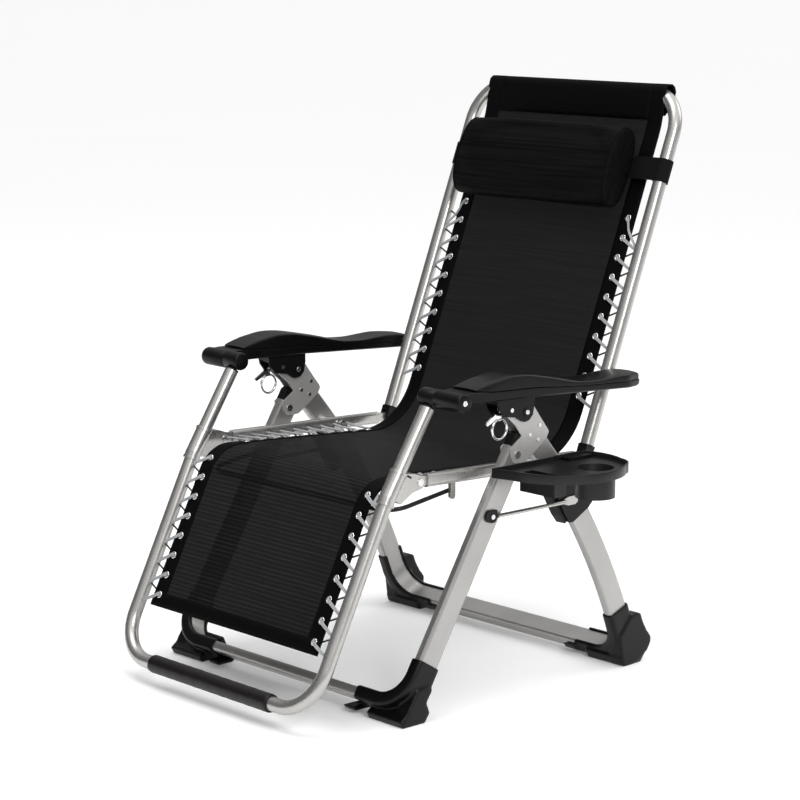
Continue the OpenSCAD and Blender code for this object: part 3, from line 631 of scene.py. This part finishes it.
def eyelets(name, p0, d, n, rows, body, node):
    prof = [(3.6, -1.9), (4.2, -2.5), (5.4, -2.6), (6.9, -1.9), (7.1, -1.4), (6.7, 1.4), (7.1, 2.0), (6.6, 3.0), (5.4, 3.5), (4.1, 3.0), (3.6, 1.9)]
    verts, faces = [], []
    for s in rows:
        for sx in (-1, 1):
            base = len(verts)
            k = 28
            for i in range(k):
                a = 2 * math.pi * i / k
                for r, h in prof:
                    q = p0 + (s + r * math.sin(a)) * d + (h + knee_drop(p0, s)) * n
                    verts.append(P(sx * 219 + r * math.cos(a), q[0], q[1]))
            m = len(prof)
            for i in range(k):
                for j in range(m):
                    a, b = base + i * m + j, base + i * m + (j + 1) % m
                    c, e = base + ((i + 1) % k) * m + (j + 1) % m, base + ((i + 1) % k) * m + j
                    faces.append((a, b, c, e))
    o = obj_from(name, verts, faces, M["chrome"])
    bm = bmesh.new()
    bm.from_mesh(o.data)
    bmesh.ops.recalc_face_normals(bm, faces=bm.faces)
    bm.to_mesh(o.data)
    bm.free()
    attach(o, body)
    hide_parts(node)
    return o


eyelets("grommets_back", back_low, bd, bn, rows_back, "back", "eyelets_back")
eyelets("grommets_seat", ss0, sd, sn, rows_seat, "seat", "eyelets_seat")
eyelets("grommets_leg", foot_low, vd, vn, rows_leg, "footrest", "eyelets_leg")


def lacing(name, p0, d, n, rows, sx, rx, body, node, z0=0.0, z1=0.0, r=1.75, xm=270.0):
    """Cord from each eyelet down to a hole in the inner flank of the side member, back under the hem to the next eyelet."""
    x0, xw = 219.0, xm - rx
    k = len(rows) - 1
    front, under = [], []
    for i in range(k):
        a, b = rows[i], rows[i + 1]
        g = b - a
        zh = z0 + (z1 - z0) * i / k
        for e in (-1, 1):
            o = e * 1.75
            if body == "back" and i == k - 1:
                # the top pair shares the hole of the pair below
                front.append([(x0 - 1.5, b + o, -0.5), (x0 - 0.5, b + o, 3.4), (x0 + 2, b - 0.04 * g + o, 5.6), (x0 + 6, b - 0.22 * g + o, 5.6), (x0 + 14, b - 0.70 * g + 0.8 * o, 5.0),
                              (xw - 5, b - 1.25 * g + 0.6 * o, 3.6), (xw - 1, b - 1.42 * g + 0.6 * o, 2.6), (xw + 3, b - 1.46 * g + 0.6 * o, 1.8)])
                continue
            front.append([(x0 - 1.5, b + o, -0.5), (x0 - 0.5, b + o, 3.4), (x0 + 2.5, b - 0.02 * g + o, 5.6), (x0 + 8, b - 0.12 * g + o, 5.4), (xw - 9, b - 0.40 * g + 0.8 * o, 4.0 + 0.5 * zh),
                          (xw - 1, b - 0.50 * g + 0.6 * o, 2.2 + zh), (xw + 3, b - 0.53 * g + 0.6 * o, 1.6 + zh)])
        under.append([(xw + 3, a + 0.42 * g, zh - 1.6), (xw - 1.5, a + 0.40 * g, zh - 2.4), (xw - 8, a + 0.32 * g, zh * 0.6 - 4.0), (x0 + 12, a + 0.12 * g, -5.4), (x0 + 4, a + 0.03 * g, -5.6), (x0, a, -4.2), (x0 - 0.6, a, -0.5)])
    g = rows[1] - rows[0]
    b = rows[0]
    for e in (-1, 1):
        o = e * 1.75
        front.append([(x0 - 1.5, b + o, -0.5), (x0 - 0.5, b + o, 3.4), (x0 + 2.5, b - 0.02 * g + o, 5.6), (x0 + 8, b - 0.12 * g + o, 5.4), (xw - 9, b - 0.36 * g + 0.8 * o, 4.0 + 0.5 * z0),
                      (xw - 1, b - 0.44 * g + 0.6 * o, 2.2 + z0), (xw + 3, b - 0.46 * g + 0.6 * o, 1.6 + z0)])
    verts, faces, fabs, mats = [], [], [], []
    for group, mi in ((front, 0), (under, 1)):
        for seg in group:
            world = []
            for x, s_, off in seg:
                c = p0 + s_ * d + (off + knee_drop(p0, s_) * (1 if x < 240 else 0.3)) * n
                world.append(P(sx * x, c[0], c[1]))
            t = tube_mesh("tmp", smooth_path(world, k=5), r / 1000, M["cord"], sides=10, fab=True)
            base = len(verts)
            verts += [v.co.copy() for v in t.data.vertices]
            at = t.data.attributes["fab"]
            buf = np.zeros(len(t.data.vertices) * 3, np.float32)
            at.data.foreach_get("vector", buf)
            fabs += [tuple(q) for q in buf.reshape(-1, 3)]
            for p in t.data.polygons:
                faces.append(tuple(base + q for q in p.vertices))
                mats.append(mi)
            me = t.data
            bpy.data.objects.remove(t)
            bpy.data.meshes.remove(me)
    o = obj_from(name, verts, faces, M["cord"])
    # material 1, the darker cord copy, paints shade on the strands under the hem
    o.data.materials.append(M["cord_painted_shade"])
    o.data.polygons.foreach_set("material_index", mats)
    set_fab(o, fabs)
    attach(o, body)
    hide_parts(node)
    return o


for sx, side in ((1, "left"), (-1, "right")):
    lacing("elastic_back_" + side, back_low, bd, bn, rows_back, sx, 13, "back", "lacing_back_" + side)
    lacing("elastic_seat_" + side, ss0, sd, sn, rows_seat, sx, 8, "seat", "lacing_seat_" + side, 3, 10)
    lacing("elastic_leg_" + side, foot_low, vd, vn, rows_leg, sx, 13, "footrest", "lacing_leg_" + side)


# ---------------------------------------------------------------- head pillow
def pillow():
    c = back_top - 167 * bd + 48 * bn
    nx, na_ = 60, 56
    hl = 206.0
    verts, faces, fab = [], [], []
    prof_x = [-hl, -hl + 0.4, -hl + 1.6, -hl + 4, -hl + 9, -hl + 16] + list(np.linspace(-hl + 26, hl - 26, nx)) + [hl - 16, hl - 9, hl - 4, hl - 1.6, hl - 0.4, hl]
    scale = [0.45, 0.86, 0.945, 0.985, 0.995, 1.0] + [1.0] * nx + [1.0, 0.995, 0.985, 0.945, 0.86, 0.45]
    for x, k in zip(prof_x, scale):
        for j in range(na_):
            a = 2 * math.pi * j / na_
            ca, sa = math.cos(a), math.sin(a)
            u = 77 * k * math.copysign(abs(ca) ** 0.90, ca)
            w = 35 * k * math.copysign(abs(sa) ** (0.72 if sa < 0 else 0.90), sa)
            q = c + u * bd + w * bn
            verts.append(P(x, q[0], q[1]))
            fab.append((x / 1000, a * 0.06, 0))
    m = len(prof_x)
    for i in range(m - 1):
        for j in range(na_):
            faces.append((i * na_ + j, (i + 1) * na_ + j, (i + 1) * na_ + (j + 1) % na_, i * na_ + (j + 1) % na_))
    for i, flip in ((0, False), (m - 1, True)):
        q = c
        ci = len(verts)
        verts.append(P(prof_x[i], q[0], q[1]))
        fab.append((prof_x[i] / 1000, 0, 0))
        for j in range(na_):
            f = (i * na_ + j, i * na_ + (j + 1) % na_, ci)
            faces.append(f[::-1] if flip else f)
    o = obj_from("head_roll", verts, faces, M["pillow"])
    set_fab(o, fab)
    return o


def simulate(o, pressure, frames=18, cap=0.010):
    rest = np.array([v.co[:] for v in o.data.vertices])
    cl = o.modifiers.new("cloth", "CLOTH")
    st = cl.settings
    st.quality = 4
    st.mass = 0.25
    st.tension_stiffness = 25
    st.compression_stiffness = 25
    st.shear_stiffness = 8
    st.bending_stiffness = 1.2
    st.use_pressure = True
    st.uniform_pressure_force = pressure
    st.effector_weights.gravity = 0
    cl.point_cache.frame_start = 1
    cl.point_cache.frame_end = frames
    for f in range(1, frames + 1):
        scene.frame_set(f)
    dg = bpy.context.evaluated_depsgraph_get()
    ev = o.evaluated_get(dg)
    pos = np.array([v.co[:] for v in ev.data.vertices])
    o.modifiers.clear()
    scene.frame_set(1)
    d = pos - rest
    ln = np.linalg.norm(d, axis=1)[:, None]
    d *= np.minimum(1, cap / np.maximum(ln, 1e-9))
    o.data.vertices.foreach_set("co", (rest + d).astype(np.float32).ravel())
    o.data.update()


roll = pillow()
simulate(roll, 2.0)
sub = roll.modifiers.new("sub", "SUBSURF")
sub.levels = sub.render_levels = 1
apply_mods(roll)
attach(roll, "headrest")
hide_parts("head_pillow")


def pillow_seams():
    """Piping round both ends and a flat felled seam along the front."""
    c = back_top - 167 * bd + 48 * bn
    made = []
    from_bvh = BVHTree.FromPolygons([v.co[:] for v in roll.data.vertices], [tuple(p.vertices) for p in roll.data.polygons])
    for sx, side in ((1, "left"), (-1, "right")):
        pts = []
        for j in range(72):
            a = 2 * math.pi * j / 72
            ca, sa = math.cos(a), math.sin(a)
            q = c + 90 * ca * bd + 50 * sa * bn
            o = P(sx * 200.0, q[0], q[1])
            mid = P(sx * 200.0, c[0], c[1])
            hit = from_bvh.ray_cast(o, (mid - o).normalized())
            pts.append(hit[0] if hit[0] is not None else o)
        pts = [(pts[i - 1] + pts[i] * 2 + pts[(i + 1) % 72]) / 4 for i in range(72)]
        made.append(tube_mesh("pillow_piping_" + side, pts, 0.0017, M["hem"], sides=8, closed=True, fab=True))
    pts = []
    for x in np.linspace(-199, 199, 60):
        q = c + 22 * bd + 80 * bn
        o = P(x, q[0], q[1])
        d = P(x, *(q - bn)) - o
        hit = from_bvh.ray_cast(o, d.normalized())
        pts.append(hit[0] + Vector((0, 0, 0)) if hit[0] is not None else o)
    made.append(tube_mesh("pillow_seam", pts, 0.0011, M["hem"], sides=8, fab=True))
    for o in made:
        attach(o, "headrest")


pillow_seams()


# ---------------------------------------------------------------- arm rests
ARM = [(500, 577), (514, 581), (552, 591), (602, 598), (640, 596), (705, 583), (770, 567), (823, 563.5), (885, 567.5), (930, 565.5), (944, 562), (960, 556)]


def arm_top(y):
    f = lambda q: float(np.interp(q, [a for a, b in ARM], [b for a, b in ARM]))
    return (f(y - 12) + 2 * f(y) + f(y + 12)) / 4


def seam_z(y):
    return float(np.interp(y, [480, 514, 555, 656, 786, 921, 950], [577, 577.6, 573.2, 569, 557.5, 550.8, 550]))


def arm_bottom(y):
    return float(np.interp(y, [480, 500, 520, 656, 926, 950], [560, 557, 556, 552.5, 538, 537.5]))


def loft(name, sections, mat):
    """Closed solid through rings of equal point count."""
    m = len(sections[0])
    verts = [v for ring in sections for v in ring]
    faces = []
    for i in range(len(sections) - 1):
        for j in range(m):
            faces.append((i * m + j, i * m + (j + 1) % m, (i + 1) * m + (j + 1) % m, (i + 1) * m + j))
    faces.append(tuple(range(m - 1, -1, -1)))
    faces.append(tuple((len(sections) - 1) * m + j for j in range(m)))
    o = obj_from(name, verts, faces, mat)
    bm = bmesh.new()
    bm.from_mesh(o.data)
    bmesh.ops.recalc_face_normals(bm, faces=bm.faces)
    bm.to_mesh(o.data)
    bm.free()
    return o


def sharp(o, angle=40):
    """Keep crisp moulded edges crisp: split shading at steep edges after a small bevel."""
    b = o.modifiers.new("bevel", "BEVEL")
    b.width = 0.0009
    b.segments = 2
    b.limit_method = "ANGLE"
    b.angle_limit = math.radians(angle)
    w = o.modifiers.new("wn", "WEIGHTED_NORMAL")
    w.keep_sharp = True
    apply_mods(o)


def arm_rest(sx, side):
    xc = T + 18 + 32.5
    # beam: from the barrel to the rear pivot, a little narrower than the pad
    rings = []
    for y in [482, 486, 494, 504] + list(np.arange(516, 924, 8.0)) + [926, 934, 940, 944.5, 946]:
        zb, zt = arm_bottom(y), seam_z(y) - 0.25
        w = 31.2
        if y > 936:
            k = (y - 936) / 10
            zb += 4 * k * k
            w -= 1.5 * k * k
        out = xc + w - (0 if y < 905 else (y - 905) * 0.32)
        inn = xc - w - 1
        c = 2.6
        ring = [(inn + c, zb), (out - c, zb), (out, zb + c), (out, zt - 1.0), (out - 1.4, zt), (inn + 1.4, zt), (inn, zt - 1.0), (inn, zb + c)]
        rings.append([P(sx * a, y, b) for a, b in ring])
    beam = loft("arm_beam_" + side, rings, M["arm"])
    sharp(beam)
    # pad: wedge shaped front edge, hump, dip and flat rear end
    rings = []
    ys = [514, 515, 518] + list(np.arange(524, 924, 7.0)) + [926, 932, 937, 941, 943.5]
    for y in ys:
        zt, zs = arm_top(y), seam_z(y) + 0.35
        if y < 520:
            zt = zs + 2.0 + (zt - zs - 2.0) * (0.55 + 0.45 * (y - 514) / 6)
        if y > 938:
            k = (y - 938) / 6
            zt -= 1.2 * k * k
        inn = xc - 32.5
        out = xc + 32.5
        if y < 560:
            out -= 7.0 * ((560 - y) / 46) ** 2
        if y > 900:
            out -= (y - 900) * 0.36
        h = zt - zs
        e = min(5.0, h * 0.35)
        ring = [(inn + 1.2, zs), (out - 1.2, zs), (out, zs + 0.9), (out, zt - e), (out - e * 0.30, zt - e * 0.34), (out - e * 1.1, zt - 0.2), (out - 14, zt + 0.5), (xc, zt + 0.9), (inn + 14, zt + 0.5),
                (inn + e * 1.1, zt - 0.2), (inn + e * 0.30, zt - e * 0.34), (inn, zt - e), (inn, zs + 0.9)]
        rings.append([P(sx * a, y, b) for a, b in ring])
    pad = loft("arm_pad_" + side, rings, M["arm"])
    sharp(pad, 50)
    return beam, pad


def lathe_x(name, x0, p, prof, mat, segs=48, sx=1):
    """prof: list of (x, r) along +X from x0; closed at the ends."""
    verts, faces = [], []
    for x, r in prof:
        for j in range(segs):
            a = 2 * math.pi * j / segs
            verts.append(P(sx * (x0 + x), p[0] + r * math.cos(a), p[1] + r * math.sin(a)))
    for i in range(len(prof) - 1):
        for j in range(segs):
            faces.append((i * segs + j, i * segs + (j + 1) % segs, (i + 1) * segs + (j + 1) % segs, (i + 1) * segs + j))
    faces.append(tuple(range(segs - 1, -1, -1)))
    faces.append(tuple((len(prof) - 1) * segs + j for j in range(segs)))
    o = obj_from(name, verts, faces, mat)
    bm = bmesh.new()
    bm.from_mesh(o.data)
    bmesh.ops.recalc_face_normals(bm, faces=bm.faces)
    bm.to_mesh(o.data)
    bm.free()
    return o


for sx, side in ((1, "left"), (-1, "right")):
    body = "arm_" + side
    beam, pad = arm_rest(sx, side)
    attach(beam, body)
    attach(pad, body)
    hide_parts("armrest_" + side)
    r = 17.0
    barrel = lathe_x("arm_barrel_" + side, 250, B, [(0, r - 3), (1, r - 1.2), (3, r - 0.2), (6, r), (38, r), (39, r - 0.7), (40.5, r - 0.7), (41.5, r), (99, r), (102, r - 0.3), (104.3, r - 1.4), (105, r - 3)], M["arm"], sx=sx)
    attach(barrel, body)
    screw = lathe_x("arm_barrel_screw_" + side, 350.5, B, [(0, 5.2), (5, 5.2), (5.9, 4.4), (6.1, 2.2), (5.1, 2.0), (5.1, 0.8)], M["chrome"], 32, sx)
    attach(screw, body)
    # lobe and screw on the inner side
    lobe = lathe_x("arm_lobe_" + side, 284, np.array([505, 551.]), [(0, 9.5), (0.8, 11), (2, 11.6), (11.6, 11.6)], M["arm"], 40, sx)
    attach(lobe, body)
    ls = lathe_x("arm_lobe_screw_" + side, 283.0, np.array([505, 551.]), [(0, 1.0), (0, 3.2), (0.6, 4.2), (4, 4.2)], M["chrome"], 28, sx)
    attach(ls, body)


# ---------------------------------------------------------------- feet: softened shells round the CAD form
def soften(node, name, mat, body, voxel=0.0022, rounds=10):
    src = N[node]
    me = src.data.copy()
    o = bpy.data.objects.new(name, me)
    scene.collection.objects.link(o)
    me.materials.clear()
    me.materials.append(mat)
    w = o.modifiers.new("weld", "WELD")
    w.merge_threshold = 0.00002
    rm = o.modifiers.new("remesh", "REMESH")
    rm.mode = "VOXEL"
    rm.voxel_size = voxel
    sm = o.modifiers.new("smooth", "SMOOTH")
    sm.factor = 0.5
    sm.iterations = rounds
    apply_mods(o)
    o.data.polygons.foreach_set("use_smooth", [True] * len(o.data.polygons))
    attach(o, body)
    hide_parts(node)
    return o


for side in ("left", "right"):
    soften("front_foot_" + side, "front_boot_" + side, M["rubber"], "front_legs")
    soften("rear_foot_" + side, "rear_boot_" + side, M["rubber"], "rear_legs")


# ---------------------------------------------------------------- foam grip
def grip():
    prof = [(-168, 13.4), (-168, 15.0), (-167, 16.2), (-165, 16.6)]
    for x in np.linspace(-160, 160, 41):
        prof.append((x, 16.6 + 0.25 * math.sin(x * 0.21) * math.sin(x * 0.043)))
    prof += [(165, 16.6), (167, 16.2), (168, 15.0), (168, 13.4)]
    segs = 48
    verts, faces = [], []
    for x, r in prof:
        for j in range(segs):
            a = 2 * math.pi * j / segs
            verts.append(P(x, foot_low[0] + r * math.cos(a), foot_low[1] + r * math.sin(a)))
    n = len(prof)
    for i in range(n):
        for j in range(segs):
            a, b = i * segs + j, i * segs + (j + 1) % segs
            c, d = ((i + 1) % n) * segs + (j + 1) % segs, ((i + 1) % n) * segs + j
            faces.append((a, b, c, d))
    o = obj_from("foam_sleeve", verts, faces, M["foam"])
    bm = bmesh.new()
    bm.from_mesh(o.data)
    bmesh.ops.recalc_face_normals(bm, faces=bm.faces)
    bm.to_mesh(o.data)
    bm.free()
    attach(o, "footrest")
    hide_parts("foot_grip")


grip()

# ---------------------------------------------------------------- CAD nodes that stay
for n, m in {
    "rear_leg_frame": "leg", "front_leg_frame": "leg", "back_frame_tube": "tube", "foot_frame_tube": "tube", "foot_posts": "tube",
    "seat_rail_left": "tube", "seat_rail_right": "tube", "hinge_plates_left": "plate", "hinge_plates_right": "plate",
    "gusset_left": "tube", "gusset_right": "tube", "stay_rod_left": "tube", "stay_rod_right": "tube",
    "plate_rivets": "zinc", "seat_pivot_bolts": "zinc", "leg_pivot_rivets": "zinc", "bracket_pivot_pins": "black", "stay_tab_rivets": "zinc",
    "gusset_pins": "zinc", "back_pivot_pins": "zinc", "arm_bolts": "zinc", "bracket_screws_left": "zinc", "bracket_screws_right": "zinc",
    "lock_ring_left": "chrome", "lock_ring_right": "chrome", "under_seat_posts": "tube",
    "front_leg_plugs": "black", "stay_tabs": "black", "stay_slider_left": "black", "stay_slider_right": "black", "back_hinge_blocks": "black",
    "foot_knuckles": "black", "slide_bracket_left": "black", "slide_bracket_right": "black", "tray_clamp": "black", "side_tray": "tray",
    "pillow_straps": "webbing", "under_seat_rod": "wire",
}.items():
    finish_cad(n, M[m])
for n, w in (("side_tray", 0.0014), ("tray_clamp", 0.0012), ("slide_bracket_left", 0.001), ("slide_bracket_right", 0.001), ("stay_slider_left", 0.0012), ("stay_slider_right", 0.0012),
             ("stay_tabs", 0.0008), ("front_leg_plugs", 0.001), ("hinge_plates_left", 0.0005), ("hinge_plates_right", 0.0005)):
    bevel_cad(n, w)

for n in ("front_leg_frame", "rear_leg_frame", "seat_rail_left", "seat_rail_right"):
    round_cad(n)

for sx, side in ((1, "left"), (-1, "right")):
    for k, (a, b) in enumerate(((330.2, 331.6), (295.8, 294.4))):
        lo = min(a, b)
        cap = lathe_x("bracket_rivet_%s_%d" % (side, k), lo, PB, [(0, 4.0), (0.2, 4.8), (1.2, 4.8), (1.4, 4.0)], M["zinc"], 28, sx)
        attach(cap, "rear_legs")

# ---------------------------------------------------------------- floor and light
bpy.ops.mesh.primitive_plane_add(size=300, location=(0, 0, 0))
floor = bpy.context.object
floor.name = "floor"
fm, fnt, fb, fl = new_mat("floor_white")
fl.new(ramp(fnt, noise(fnt, coords(fnt), 0.7, 1.0), [(0.0, (0.93, 0.93, 0.93)), (1.0, (0.95, 0.95, 0.95))]), fb.inputs["Base Color"])
fb.inputs["Roughness"].default_value = 0.75
fb.inputs["Specular IOR Level"].default_value = 0.1
fb.inputs["Emission Color"].default_value = (1, 1, 1, 1)
fb.inputs["Emission Strength"].default_value = 0.13
floor.data.materials.append(fm)

world = bpy.data.worlds.new("studio")
scene.world = world
world.use_nodes = True
bg = world.node_tree.nodes["Background"]
wnt = world.node_tree
wtc = wnt.nodes.new("ShaderNodeTexCoord")
wsep = wnt.nodes.new("ShaderNodeSeparateXYZ")
wnt.links.new(wtc.outputs["Generated"], wsep.inputs[0])
lift = maprange(wnt, wsep.outputs[2], 0.0, 0.85, 0.0, 1.0)
sky = ramp(wnt, lift, [(0.0, (0.34, 0.34, 0.345)), (0.35, (0.46, 0.46, 0.465)), (0.75, (1.22, 1.22, 1.22)), (1.0, (1.34, 1.34, 1.34))])
# the studio is darker to the left of the chair's front
side = maths(wnt, "ADD", maths(wnt, "MULTIPLY", wsep.outputs[0], -0.86), maths(wnt, "MULTIPLY", wsep.outputs[1], -0.50))
dim = maprange(wnt, side, 0.05, 0.75, 1.0, 0.24)
wmul = wnt.nodes.new("ShaderNodeMix")
wmul.data_type = "RGBA"
wmul.blend_type = "MULTIPLY"
wmul.inputs[0].default_value = 1.0
wnt.links.new(sky, wmul.inputs[6])
wcomb = wnt.nodes.new("ShaderNodeCombineColor")
for k in range(3):
    wnt.links.new(dim, wcomb.inputs[k])
wnt.links.new(wcomb.outputs[0], wmul.inputs[7])
wnt.links.new(wmul.outputs[2], bg.inputs[0])
bg.inputs[1].default_value = 1.0


def area(name, loc, target, size, power, size_y=None):
    d = bpy.data.lights.new(name, "AREA")
    d.energy = power
    d.size = size
    if size_y:
        d.shape = "RECTANGLE"
        d.size_y = size_y
    o = bpy.data.objects.new(name, d)
    scene.collection.objects.link(o)
    o.location = loc
    v = Vector(target) - Vector(loc)
    o.rotation_euler = v.to_track_quat("-Z", "Y").to_euler()
    return o


area("key", (3.5, -1.5, 2.7), (0, 0, 0.5), 1.1, 70, 1.6)
area("top", (-0.4, -0.8, 4.2), (0, 0, 0.4), 2.4, 60)
area("rim", (1.2, 3.4, 2.6), (0, 0, 0.6), 2.0, 30)
